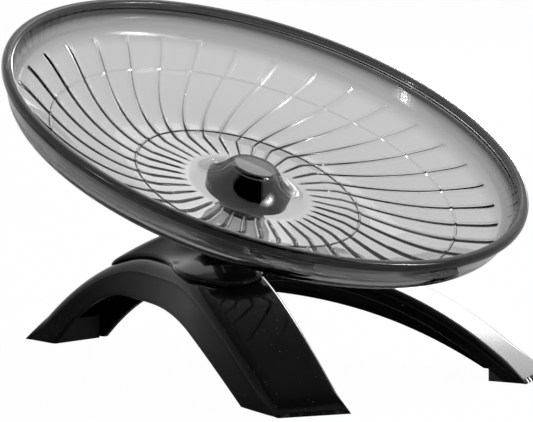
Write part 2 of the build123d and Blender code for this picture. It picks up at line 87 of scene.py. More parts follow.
class Value:
    """A number socket that can be used in Python arithmetic."""

    def __init__(self, shader: "Shader", socket: bpy.types.NodeSocket) -> None:
        """Keep the shader that the socket belongs to."""
        self.shader = shader
        self.socket = socket

    def _maths(self, operation: str, *operands: Any) -> "Value":
        """Add one Math node.

        Args:
            operation: The Math node's operation.
            operands: Numbers or values, in order.

        Returns:
            The node's result.
        """
        inputs = dict(enumerate(operands))
        return self.shader.node("ShaderNodeMath", {"operation": operation}, inputs)[0]

    def __add__(self, other: Any) -> "Value":
        """Sum."""
        return self._maths("ADD", self, other)

    __radd__ = __add__

    def __mul__(self, other: Any) -> "Value":
        """Product."""
        return self._maths("MULTIPLY", self, other)

    __rmul__ = __mul__

    def __sub__(self, other: Any) -> "Value":
        """Difference."""
        return self._maths("SUBTRACT", self, other)

    def __rsub__(self, other: Any) -> "Value":
        """Difference with the value on the right."""
        return self._maths("SUBTRACT", other, self)

    def __truediv__(self, other: Any) -> "Value":
        """Quotient."""
        return self._maths("DIVIDE", self, other)

    def __rtruediv__(self, other: Any) -> "Value":
        """Quotient with the value below."""
        return self._maths("DIVIDE", other, self)

    def __pow__(self, other: Any) -> "Value":
        """Power."""
        return self._maths("POWER", self, other)

    def __rpow__(self, other: Any) -> "Value":
        """Power with the value as exponent."""
        return self._maths("POWER", other, self)

    def above(self, limit: float) -> "Value":
        """One where the value is above a limit, else zero."""
        return self._maths("GREATER_THAN", self, limit)

    def largest(self, other: Any) -> "Value":
        """The larger of two values."""
        return self._maths("MAXIMUM", self, other)


class Shader:
    """A node tree that is filled by short calls."""

    def __init__(self, tree: bpy.types.NodeTree, output: str) -> None:
        """Empty the tree and give it an output node.

        Args:
            tree: The node tree of a material or of the world.
            output: The type of its output node.
        """
        self.tree = tree
        tree.nodes.clear()
        self.output = tree.nodes.new(output)

    def node(self, kind: str, settings: dict[str, Any] | None = None,
             inputs: dict[Any, Any] | None = None) -> "Outputs":
        """Add any node.

        Args:
            kind: The node's type.
            settings: Properties, set first; "stops" fills a colour ramp.
            inputs: Socket names or numbers, with values or links.

        Returns:
            The node's outputs, by name or number.
        """
        made = self.tree.nodes.new(kind)
        for name, value in (settings or {}).items():
            if name == "stops":
                self._fill_ramp(made, value)
            else:
                setattr(made, name, value)
        for name, value in (inputs or {}).items():
            self.feed(made.inputs[name], value)
        return Outputs(self, made)

    def feed(self, socket: bpy.types.NodeSocket, value: Any) -> None:
        """Set or link one input.

        Args:
            socket: The input.
            value: A Value to link, or a constant.
        """
        if isinstance(value, Value):
            self.tree.links.new(value.socket, socket)
        else:
            socket.default_value = value

    @staticmethod
    def _fill_ramp(made: bpy.types.Node, stops: Sequence[tuple[float, tuple[float, ...]]]) -> None:
        """Give a colour ramp its stops.

        Args:
            made: The ramp node.
            stops: Places and colours.
        """
        elements = made.color_ramp.elements
        while len(elements) < len(stops):
            elements.new(1.0)
        for element, (place, colour) in zip(elements, stops):
            element.position = place
            element.color = colour

    def finish(self, surface: Value) -> None:
        """Link the surface to the output."""
        self.tree.links.new(surface.socket, self.output.inputs["Surface"])


class Outputs:
    """The outputs of one node."""

    def __init__(self, shader: Shader, made: bpy.types.Node) -> None:
        """Keep the node."""
        self.shader = shader
        self.made = made

    def __getitem__(self, key: Any) -> Value:
        """One output, by name or number."""
        return Value(self.shader, self.made.outputs[key])


def grey(level: float) -> tuple[float, float, float, float]:
    """An opaque neutral colour."""
    return (level, level, level, 1.0)


@dataclass(frozen=True)
class Finish:
    """What all finishes share: a name and the record's material slot."""

    name: str
    slot: str

    def material(self) -> bpy.types.Material:
        """Make the material, or return the one made before.

        Returns:
            The material with this finish's name.
        """
        found = bpy.data.materials.get(self.name)
        if found is not None:
            return found
        made = bpy.data.materials.new(self.name)
        made.use_nodes = True
        shader = Shader(made.node_tree, "ShaderNodeOutputMaterial")
        place = shader.node("ShaderNodeTexCoord")["Object"]
        shader.finish(self.surface(shader, place))
        return made

    def surface(self, shader: Shader, place: Value) -> Value:
        """Build the surface; each finish has its own.

        Args:
            shader: Where the nodes go.
            place: Object coordinates.

        Returns:
            The closure for the output.
        """
        raise NotImplementedError

    @staticmethod
    def noise(shader: Shader, place: Value, scale: float, detail: float = SOFT_DETAIL) -> Value:
        """Even noise from 0 to 1, at a number of waves per metre."""
        inputs = {"Vector": place, "Scale": scale, "Detail": detail}
        return shader.node("ShaderNodeTexNoise", None, inputs)["Fac"]

    @staticmethod
    def blend(shader: Shader, factor: Value, low: Any, high: Any) -> Value:
        """Mix two colours by a factor."""
        inputs = {"Factor": factor, MIX_LOW: low, MIX_HIGH: high}
        return shader.node("ShaderNodeMix", {"data_type": "RGBA"}, inputs)[MIX_RESULT]

    @staticmethod
    def bump(shader: Shader, height: Value, strength: float, distance: float) -> Value:
        """Turn a height into a normal."""
        inputs = {"Height": height, "Strength": strength, "Distance": distance}
        return shader.node("ShaderNodeBump", None, inputs)["Normal"]


@dataclass(frozen=True)
class GlossPlastic(Finish):
    """Polished moulded plastic with faint handling marks and a few dust specks."""

    level: float = 0.003
    roughness: float = 0.07
    smudge: float = 0.10
    specular: float = 0.05
    dust: float = 0.85
    smear_waves: float = 22.0
    smear_lift: float = 1.8
    fine_waves: float = 900.0
    fine_share: float = 0.3
    dust_waves: float = 1600.0
    dust_level: float = 0.25
    dust_roughness: float = 0.25
    bump_strength: float = 0.05
    bump_height: float = 0.0004

    def surface(self, shader: Shader, place: Value) -> Value:
        """Near-black gloss; smudges raise the roughness, specks lift the colour.

        Args:
            shader: Where the nodes go.
            place: Object coordinates.

        Returns:
            The closure for the output.
        """
        broad = self.noise(shader, place, self.smear_waves, RICH_DETAIL)
        fine = self.noise(shader, place, self.fine_waves)
        speck = self.noise(shader, place, self.dust_waves, 0.0).above(self.dust)
        tone = self.blend(shader, broad, grey(self.level), grey(self.smear_lift * self.level))
        relief = (1 - self.fine_share) * broad + self.fine_share * fine
        inputs = {
            "Base Color": self.blend(shader, speck * broad, tone, grey(self.dust_level)),
            "Roughness": self.roughness + self.smudge * broad ** PATCH_POWER + self.dust_roughness * speck,
            "Specular IOR Level": self.specular,
            "Normal": self.bump(shader, relief, self.bump_strength, self.bump_height),
        }
        return shader.node("ShaderNodeBsdfPrincipled", None, inputs)["BSDF"]


@dataclass(frozen=True)
class SmokedPlastic(Finish):
    """Clear plastic, tinted grey, that darkens in its thick parts, with painted shade that darkens it further
    towards the rim.

    The stops give a grey level at shares of the reach, counted from the axis: pale near the middle, where it is
    the plastic's own colour, and dark towards the rim, where it is painted shade.
    """

    centre: tuple[float, float, float] = (0.0, 0.0, 0.0)
    up: tuple[float, float, float] = (0.0, 0.0, 1.0)
    reach: float = 0.1
    # Grey levels by share of the reach: the plastic's own colour near the middle, painted rim shade at the outer
    # stops
    tint_and_rim_shade_stops: tuple[tuple[float, float], ...] = ((0.80, 0.97), (0.845, 0.68), (0.868, 0.45), (0.875, 0.01))
    roughness: float = 0.015
    haze: float = 0.03
    density: float = 250.0
    body_level: float = 0.15
    ior: float = 1.33
    haze_waves: float = 30.0
    haze_share: float = 0.08
    haze_level: float = 0.3
    bump_strength: float = 0.03
    bump_height: float = 0.0006

    def radius(self, shader: Shader, place: Value) -> Value:
        """Distance from the dish's axis: length of the cross product with its direction.

        Args:
            shader: Where the nodes go.
            place: Object coordinates.

        Returns:
            The distance in metres.
        """
        def vector(operation: str, first: Any, second: Any = None) -> "Outputs":
            """Add one Vector Math node."""
            inputs = {0: first} if second is None else {0: first, 1: second}
            return shader.node("ShaderNodeVectorMath", {"operation": operation}, inputs)

        offset = vector("SUBTRACT", place, self.centre)["Vector"]
        return vector("LENGTH", vector("CROSS_PRODUCT", offset, self.up)["Vector"])["Value"]

    def surface(self, shader: Shader, place: Value) -> Value:
        """Refracting surface with faint haze, and an absorbing body.

        Args:
            shader: Where the nodes go.
            place: Object coordinates.

        Returns:
            The closure for the output.
        """
        broad = self.noise(shader, place, self.haze_waves, RICH_DETAIL)
        stops = [(share, grey(level)) for share, level in self.tint_and_rim_shade_stops]
        reached = self.radius(shader, place) / self.reach
        # Painted shade: this ramp darkens the base colour towards the rim
        rim_shaded_tint = shader.node("ShaderNodeValToRGB", {"stops": stops}, {"Fac": reached})["Color"]
        absorb = {"Color": grey(self.body_level), "Density": self.density}
        body = shader.node("ShaderNodeVolumeAbsorption", None, absorb)["Volume"]
        shader.tree.links.new(body.socket, shader.output.inputs["Volume"])
        inputs = {
            "Base Color": self.blend(shader, self.haze_share * broad, rim_shaded_tint, grey(self.haze_level)),
            "Roughness": self.roughness + self.haze * broad ** PATCH_POWER,
            "IOR": self.ior,
            "Transmission Weight": 1.0,
            "Normal": self.bump(shader, broad, self.bump_strength, self.bump_height),
        }
        return shader.node("ShaderNodeBsdfPrincipled", None, inputs)["BSDF"]


@dataclass(frozen=True)
class Metal(Finish):
    """Machined metal with fine marks along its turning."""

    colour: tuple[float, float, float] = (0.6, 0.6, 0.61)
    roughness: float = 0.25
    grain: float = 0.12
    grain_waves: float = 2500.0
    dull_share: float = 0.82
    wear: float = 0.06
    wear_waves: float = 120.0
    bump_strength: float = 0.08
    bump_height: float = 0.00005

    def surface(self, shader: Shader, place: Value) -> Value:
        """Metal whose brightness and roughness follow a fine grain.

        Args:
            shader: Where the nodes go.
            place: Object coordinates.

        Returns:
            The closure for the output.
        """
        fine = self.noise(shader, place, self.grain_waves, RICH_DETAIL)
        broad = self.noise(shader, place, self.wear_waves)
        dull = (*(self.dull_share * part for part in self.colour), 1.0)
        inputs = {
            "Base Color": self.blend(shader, fine, dull, (*self.colour, 1.0)),
            "Metallic": 1.0,
            "Roughness": self.roughness + self.grain * (fine - 0.5) + self.wear * broad,
            "Normal": self.bump(shader, fine, self.bump_strength, self.bump_height),
        }
        return shader.node("ShaderNodeBsdfPrincipled", None, inputs)["BSDF"]


@dataclass(frozen=True)
class MattePart(Finish):
    """Plain moulded plastic or rubber with an even, fine texture."""

    level: float = 0.02
    roughness: float = 0.55
    texture: float = 0.15
    grain_waves: float = 1400.0
    cloud_waves: float = 80.0
    cloud_lift: float = 1.6
    bump_strength: float = 0.25
    bump_height: float = 0.0001

    def surface(self, shader: Shader, place: Value) -> Value:
        """Dark, dull surface with a fine pebbled grain.

        Args:
            shader: Where the nodes go.
            place: Object coordinates.

        Returns:
            The closure for the output.
        """
        fine = self.noise(shader, place, self.grain_waves, RICH_DETAIL)
        broad = self.noise(shader, place, self.cloud_waves)
        inputs = {
            "Base Color": self.blend(shader, broad, grey(self.level), grey(self.cloud_lift * self.level)),
            "Roughness": self.roughness + self.texture * fine,
            "Normal": self.bump(shader, fine, self.bump_strength, self.bump_height),
        }
        return shader.node("ShaderNodeBsdfPrincipled", None, inputs)["BSDF"]


# Mesh building

def make_piece(name: str, points: Array, faces: Array, finish: Finish, body: Body,
               stands_for: Sequence[str] = ()) -> bpy.types.Object:
    """Turn arrays into a finished piece that rides on a body.

    Args:
        name: The piece's name.
        points: Vertices, (n, 3), in metres.
        faces: Quads, (m, 4), as vertex numbers; a repeated number makes a triangle.
        finish: Its finish.
        body: The body that it moves with.
        stands_for: CAD nodes that it replaces.

    Returns:
        The new object.
    """
    merged, index = np.unique(np.round(points / MERGE_DISTANCE).astype(np.int64), axis=0, return_inverse=True)
    place = np.zeros((len(merged), 3))
    place[index.ravel()] = points
    faces = index.ravel()[faces]
    whole = [tuple(dict.fromkeys(face)) for face in faces.tolist()]
    mesh = bpy.data.meshes.new(name)
    mesh.from_pydata(place.tolist(), [], [face for face in whole if len(face) > 2])
    mesh.validate()
    mesh.polygons.foreach_set("use_smooth", np.ones(len(mesh.polygons), bool))
    mesh.update()
    made = bpy.data.objects.new(name, mesh)
    bpy.context.scene.collection.objects.link(made)
    mesh.materials.append(finish.material())
    if stands_for:
        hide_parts(*stands_for)
    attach(made, body.value)
    log.info("%s: %d faces", name, len(mesh.polygons))
    return made


def grid_faces(rows: int, columns: int, close_rows: bool) -> Array:
    """Quads between neighbouring points of a grid that is stored row by row.

    The last column always joins the first.

    Args:
        rows: Number of rows.
        columns: Number of columns.
        close_rows: Whether the last row joins the first.

    Returns:
        Vertex numbers, (m, 4).
    """
    grid = np.meshgrid(np.arange(rows if close_rows else rows - 1), np.arange(columns), indexing="ij")
    row, column = (numbers.ravel() for numbers in grid)
    row_after, column_after = (row + 1) % rows, (column + 1) % columns
    corners = ((row, column), (row_after, column), (row_after, column_after), (row, column_after))
    return np.stack([r * columns + c for r, c in corners], 1)


def arc(centre: tuple[float, float], radius: float, start: float, end: float, count: int) -> Array:
    """Points on a circle in a profile: centre + radius (cos a, sin a), angles in degrees."""
    turn = np.radians(np.linspace(start, end, count))
    return np.stack([centre[0] + radius * np.cos(turn), centre[1] + radius * np.sin(turn)], 1)


def dense(profile: Array, step: float) -> Array:
    """Add points to a polyline so that none of its steps is longer than a length.

    Args:
        profile: Points, (n, 2).
        step: Longest allowed step.

    Returns:
        The polyline with more points.
    """
    runs = np.hypot(*np.diff(profile, axis=0).T)
    place = np.concatenate([[0.0], np.cumsum(runs)])
    parts = [np.linspace(a, b, max(1, math.ceil((b - a) / step)), endpoint=False)
             for a, b in zip(place[:-1], place[1:])]
    along = np.concatenate([*parts, place[-1:]])
    return np.stack([np.interp(along, place, profile[:, 0]), np.interp(along, place, profile[:, 1])], 1)


@dataclass(frozen=True)
class SpinAxis:
    """The leaning axis of the dish, with heights counted from the rim plane.

    The rim's middle and the foot, which is over the stand's middle, are given by their heights
    above the floor.
    """

    rim_height: float = 81.0
    foot_height: float = 13.4

    @property
    def joint(self) -> dict[str, Any]:
        """The CAD's record of the dish's joint."""
        return next(j for j in frame["joints"] if j["name"] == "dish_spin")

    @property
    def up(self) -> Array:
        """Unit vector along the axis."""
        way = np.array(self.joint["axis"], float)
        return way / np.linalg.norm(way)

    @property
    def downhill(self) -> Array:
        """Unit vector in the rim plane towards the dish's low side."""
        return np.array([self.up[2], 0.0, -self.up[0]])

    def crossing(self, height: float) -> Array:
        """Point of the axis, in metres, at a height above the floor in mm."""
        point = np.array(self.joint["pos_m"], float)
        return point + self.up * (height * MM - point[2]) / self.up[2]

    @property
    def centre(self) -> Array:
        """Middle of the rim, in metres."""
        return self.crossing(self.rim_height)

    @property
    def foot(self) -> Array:
        """Where the axis meets the stand's middle, seen from above, in mm."""
        return np.array([self.crossing(self.foot_height)[0] / MM, 0.0])

    def place(self, radius: Array, turn: Array, along: Array) -> Array:
        """Points from turned coordinates: centre + r cos t downhill + r sin t left + w up.

        Args:
            radius: Distance from the axis in mm.
            turn: Angle from the downhill direction in radians.
            along: Height along the axis in mm.

        Returns:
            Points in metres, with one more dimension than the inputs.
        """
        radius, turn, along = np.broadcast_arrays(radius, turn, along)
        left = np.array([0.0, 1.0, 0.0])
        x, y = radius * np.cos(turn), radius * np.sin(turn)
        shift = x[..., None] * self.downhill + y[..., None] * left + along[..., None] * self.up
        return self.centre + MM * shift

    def lathe(self, profile: Array, segments: int) -> tuple[Array, Array]:
        """Turn a closed profile about the axis.

        Args:
            profile: Radius and height in mm, (n, 2), clockwise when the radius points right.
            segments: Steps round the axis.

        Returns:
            Points and faces.
        """
        turn = np.linspace(0, 2 * math.pi, segments, endpoint=False)
        points = self.place(profile[None, :, 0], turn[:, None], profile[None, :, 1])
        faces = grid_faces(segments, len(profile), True)
        return points.reshape(-1, 3), faces


# Dish

@dataclass
class Dish:
    """The clear running dish with its raised centre, ribs and rolled rim."""

    axis: SpinAxis
    rim_radius: float = 90.0
    bead_height: float = 3.4
    bead_round: float = 1.4
    wall: float = 2.0
    floor_depth: float = 22.4
    flat_radius: float = 38.6
    curve_radius: float = 72.6
    floor_slope: float = 26.0
    wall_slope: float = 75.0
    corner_radius: float = 84.0
    corner_round: float = 5.0
    dome_depth: float = 14.0
    dome_slope: float = 50.0
    flare_start: float = 21.5
    flare_round: float = 14.0
    shoulder_round: float = 2.3
    rib_count: int = 36
    lines_per_rib: int = 9
    lines_between: int = 4
    rib_end: float = 0.8
    rib_width: float = 0.52
    rib_height: float = 0.36
    rib_inner: float = 22.2
    rib_outer: float = 82.6
    rib_phase: float = 6.3
    swirl_twist: float = 21.0
    swirl_from: float = 34.0
    swirl_to: float = 80.0
    swirl_power: float = 1.3
    ring_width: float = 0.9
    ring_height: float = 0.36
    ring_radii: tuple[float, float] = (38.6, 69.7)
    ridge_power: float = 0.7
    steepest: float = 3.0
    shoulder_points: int = 9
    flare_points: int = 14
    curve_points: int = 24
    bend_points: int = 12
    bead_points: int = 8
    ring_points: int = 17
    ring_points_share: float = 0.9
    row_step: float = 2.0
    under_step: float = 3.5

    def surface_curve(self, rise: float) -> Array:
        """Running surface from the middle to the rim, moved outwards by a distance.

        Arcs keep their centres and change their radii; straight runs join them.

        Args:
            rise: Distance above the running surface in mm.

        Returns:
            Points of radius and height in mm.
        """
        floor = -self.floor_depth
        slope, steep, dome = (math.radians(a) for a in (self.floor_slope, self.wall_slope, self.dome_slope))
        flank_r = self.flare_start - self.flare_round * math.sin(dome)
        flank_w = floor + self.flare_round * (1 - math.cos(dome))
        corner = flank_r + (flank_w + self.dome_depth) / math.tan(dome)
        shoulder = (corner - self.shoulder_round * math.tan(dome / 2), -self.dome_depth - self.shoulder_round)
        top = arc(shoulder, self.shoulder_round + rise, UP, UP - self.dome_slope, self.shoulder_points)
        flare = arc((self.flare_start, floor + self.flare_round), self.flare_round - rise,
                    DOWN - self.dome_slope, DOWN, self.flare_points)
        curve_centre = (self.flat_radius, floor + self.curve_radius)
        curve = arc(curve_centre, self.curve_radius - rise, DOWN, DOWN + self.floor_slope, self.curve_points)
        end_r = curve_centre[0] + self.curve_radius * math.sin(slope)
        end_w = curve_centre[1] - self.curve_radius * math.cos(slope)
        corner_w = end_w + (self.corner_radius - end_r) * math.tan(slope)
        reach = self.corner_round * math.tan((steep - slope) / 2)
        bend_centre = (self.corner_radius - reach * math.cos(slope) - self.corner_round * math.sin(slope),
                       corner_w - reach * math.sin(slope) + self.corner_round * math.cos(slope))
        bend = arc(bend_centre, self.corner_round - rise, DOWN + self.floor_slope,
                   DOWN + self.wall_slope, self.bend_points)
        return np.concatenate([[[0.0, -self.dome_depth + rise]], top, flare, curve, bend])

    def wall_radius(self, curve: Array, height: float) -> float:
        """Radius of the steep side wall at a height."""
        return float(curve[-1, 0] + (height - curve[-1, 1]) / math.tan(math.radians(self.wall_slope)))

    @property
    def clear(self) -> Finish:
        """The smoked plastic, tinted and given painted rim shade about the dish's own axis."""
        centre, up = tuple(self.axis.centre), tuple(self.axis.up)
        return SmokedPlastic("smoked_clear_plastic", "smoked_clear", centre, up)

    def shell_curves(self) -> tuple[Array, Array]:
        """Running surface and underside, both from the middle outwards.

        The first ends over the rounded rim, where the second meets it. Steps are shorter at the
        ring ribs, which are half-round rises of the running surface.

        Returns:
            The two runs of radius and height in mm.
        """
        inner, outer = self.surface_curve(0.0), self.surface_curve(-self.wall)
        half, corner = self.bead_height / 2, self.bead_round
        rim_in = self.wall_radius(inner, half - corner)
        out = self.rim_radius - corner
        bead = np.concatenate([
            arc((rim_in + corner, half - corner), corner, 2 * QUARTER, UP, self.bead_points),
            arc((out, half - corner), corner, UP, 0, self.bead_points),
            arc((out, corner - half), corner, 0, -QUARTER, self.bead_points),
            [[self.wall_radius(outer, -half), -half]],
        ])
        radii = np.union1d(inner[:, 0], np.arange(self.rib_inner, self.corner_radius, self.row_step))
        for ring in self.ring_radii:
            near = np.abs(radii - ring) < self.ring_width
            spread = np.linspace(-self.ring_points_share, self.ring_points_share, self.ring_points)
            radii = np.union1d(radii[~near], ring + self.ring_width * spread)
        height = np.interp(radii, inner[:, 0], inner[:, 1])
        for ring in self.ring_radii:
            height = height + self.ring_height * self.half_round((radii - ring) / self.ring_width * 2)
        return np.concatenate([np.stack([radii, height], 1), bead]), dense(outer, self.under_step)[:-1]

    def half_round(self, share: Array) -> Array:
        """Height of a rounded ridge: (1 - share squared) to a power, and zero beyond one."""
        return np.clip(1 - share ** 2, 0, 1) ** self.ridge_power

    def rib_turns(self, radius: Array) -> tuple[Array, Array]:
        """Angles of the shell's grid lines, which run along the ribs, and their rise.

        In each sector some lines lie across the rib at fixed distances from its middle, and
        the rest share the way to the next rib.

        Args:
            radius: Radii of the grid's rows in mm.

        Returns:
            Angles in radians and rises from 0 to 1, both (rows, lines).
        """
        sector = 2 * math.pi / self.rib_count
        across = np.linspace(-1, 1, self.lines_per_rib)
        size = np.maximum(radius, self.rib_inner)[:, None]
        on_rib = across * (self.rib_width / 2) / size
        edge = on_rib[:, -1:]
        between = edge + (sector - 2 * edge) * np.linspace(0, 1, self.lines_between + 2)[1:-1]
        offsets = np.concatenate([on_rib, between], 1)
        turns = sector * np.arange(self.rib_count)[:, None, None] + offsets
        turns = np.moveaxis(turns, 0, 1).reshape(len(radius), -1)
        turns = turns + np.radians(self.swirl(radius) + self.rib_phase)[:, None]
        ends = np.minimum(radius - self.rib_inner, self.rib_outer - radius)
        fade = np.clip(ends / self.rib_end, 0, 1)[:, None]
        rise = np.concatenate([self.half_round(across), np.zeros(self.lines_between)])
        return turns, np.tile(rise, self.rib_count) * fade

    def shell(self) -> bpy.types.Object:
        """Make the shell with its ribs: running surface, rolled rim and underside as one skin.

        A rib stands off the running surface, so its rise along the axis is its height times the
        square root of 1 + slope squared.
        """
        inner, outer = self.shell_curves()
        profile = np.concatenate([inner, outer[::-1]])
        turns, rise = self.rib_turns(profile[:, 0])
        rise[len(inner):] = 0
        run = np.maximum(np.gradient(inner[:, 0]), np.finfo(float).eps)
        slope = np.clip(np.gradient(inner[:, 1]) / run, -self.steepest, self.steepest)
        tilt = np.concatenate([np.hypot(1, slope), np.ones(len(outer))])
        height = profile[:, 1, None] + self.rib_height * rise * tilt[:, None]
        points = self.axis.place(profile[:, 0, None], turns, height)
        faces = grid_faces(*points.shape[:2], False)
        return make_piece("dish_shell", points.reshape(-1, 3), faces, self.clear, Body.DISH,
                          ["running_dish"])

    def swirl(self, radius: Array) -> Array:
        """Turn of a rib at a radius in degrees: twist times share to a power, 0 at the outer end."""
        share = (self.swirl_to - radius) / (self.swirl_to - self.swirl_from)
        return self.swirl_twist * np.clip(share, 0, 1) ** self.swirl_power

    def build(self) -> None:
        """Make the dish's one piece."""
        self.shell()


# Stand

@dataclass(frozen=True)
class Arch:
    """Curve along a leg, level at first: height (1 - ((s - level) / (reach - level)) squared)."""

    height: float
    level: float
    reach: float

    def at(self, along: Array) -> Array:
        """Height at a distance along the leg; beyond the reach it is negative."""
        share = np.maximum(along - self.level, 0) / (self.reach - self.level)
        return self.height * (1 - share ** 2)

    def slope(self, along: Array) -> Array:
        """Fall per millimetre along the leg."""
        return 2 * self.height * np.maximum(along - self.level, 0) / (self.reach - self.level) ** 2


@dataclass(frozen=True)
class Leg:
    """One leg: its direction, crown, bow, width and the arches of its two edges."""

    angle: float
    crown: Arch
    bow: float
    left_arch: Arch
    right_arch: Arch
    root_width: float = 31.0
    foot_width: float = 23.6

    @property
    def length(self) -> float:
        """Distance from the middle of the stand to the tip."""
        return self.crown.reach

    @property
    def way(self) -> Array:
        """Unit vector along the leg, seen from above."""
        turn = math.radians(self.angle)
        return np.array([math.cos(turn), math.sin(turn)])

    @property
    def across(self) -> Array:
        """Unit vector to the leg's left, seen from above."""
        return np.array([-self.way[1], self.way[0]])

    def width(self, along: Array) -> Array:
        """Width at a distance along the leg, which narrows evenly to its foot."""
        return self.root_width + (self.foot_width - self.root_width) * along / self.length

    def point(self, along: Array, share: Array) -> Array:
        """Place on the leg seen from above: s way + (4 bow q (1 - q) + share width / 2) across.

        Args:
            along: Distance from the middle of the stand.
            share: Minus one on the right edge, one on the left edge.

        Returns:
            Points, with a last dimension of two.
        """
        along, share = np.broadcast_arrays(np.asarray(along, float), np.asarray(share, float))
        q = along / self.length
        aside = 4 * self.bow * q * (1 - q) + share * self.width(along) / 2
        return along[..., None] * self.way + aside[..., None] * self.across

    def arch(self, side: Side) -> Arch:
        """The lower edge on one side."""
        return self.left_arch if side is Side.LEFT else self.right_arch


@dataclass(frozen=True)
class Web:
    """Rounded corner between one leg's left edge and the next leg's right edge."""

    first: Leg
    second: Leg
    radius: float
    first_guess: float = 5.0
    newton_steps: int = 20
    nudge: float = 0.01
    tangent_step: float = 0.1
    turn_step: float = 10.0
    pull: float = 2 / 3

    def corner(self) -> tuple[float, float, Array]:
        """Where the two edges meet, found with a few Newton steps.

        Returns:
            The distances along both legs, and the point.
        """
        place = np.full(2, self.first_guess)
        for _ in range(self.newton_steps):
            gap = self._gap(place)
            moves = self.nudge * np.eye(2)
            step = np.stack([(self._gap(place + move) - gap) / self.nudge for move in moves], 1)
            place = place - np.linalg.solve(step, gap)
        return float(place[0]), float(place[1]), self.first.point(place[0], 1.0)

    def _gap(self, place: Array) -> Array:
        """Vector between the two edges at two distances."""
        return self.first.point(place[0], 1.0) - self.second.point(place[1], -1.0)

    def ends(self) -> tuple[float, float]:
        """Distances along both legs at which the rounding starts.

        The tangent length is radius times the tangent of half the turn between the edges.

        Returns:
            The distance along the first leg and along the second.
        """
        first, second, _ = self.corner()
        a = self.first.point(first + self.turn_step, 1.0) - self.first.point(first, 1.0)
        b = self.second.point(second + self.turn_step, -1.0) - self.second.point(second, -1.0)
        cosine = float(a @ b / np.linalg.norm(a) / np.linalg.norm(b))
        reach = self.radius * math.tan((math.pi - math.acos(cosine)) / 2)
        return first + reach, second + reach

    def curve(self, share: Array) -> Array:
        """Rounded corner as a cubic curve from the first leg (0) to the second leg (1).

        It is (1 - t)^3 a + 3 t (1 - t)^2 b + 3 t^2 (1 - t) c + t^3 d, where b and c lie on the
        edges' own tangents, a part of the way towards the corner.

        Args:
            share: The shares t.

        Returns:
            Points, with a last dimension of two.
        """
        corner = self.corner()[2]

        def pulled(leg: Leg, along: float, side: float) -> tuple[Array, Array]:
            """End of the rounding on a leg's edge, and the control point beside it.

            Args:
                leg: The leg.
                along: Distance along it at which the rounding ends.
                side: Minus one for its right edge, one for its left edge.

            Returns:
                The two points.
            """
            end = leg.point(along, side)
            back = end - leg.point(along + self.tangent_step, side)
            reach = self.pull * np.linalg.norm(corner - end)
            return end, end + reach * back / np.linalg.norm(back)

        first, second = self.ends()
        a, b = pulled(self.first, first, 1.0)
        d, c = pulled(self.second, second, -1.0)
        t = np.asarray(share, float)[..., None]
        return (1 - t) ** 3 * a + 3 * t * (1 - t) ** 2 * b + 3 * t ** 2 * (1 - t) * c + t ** 3 * d


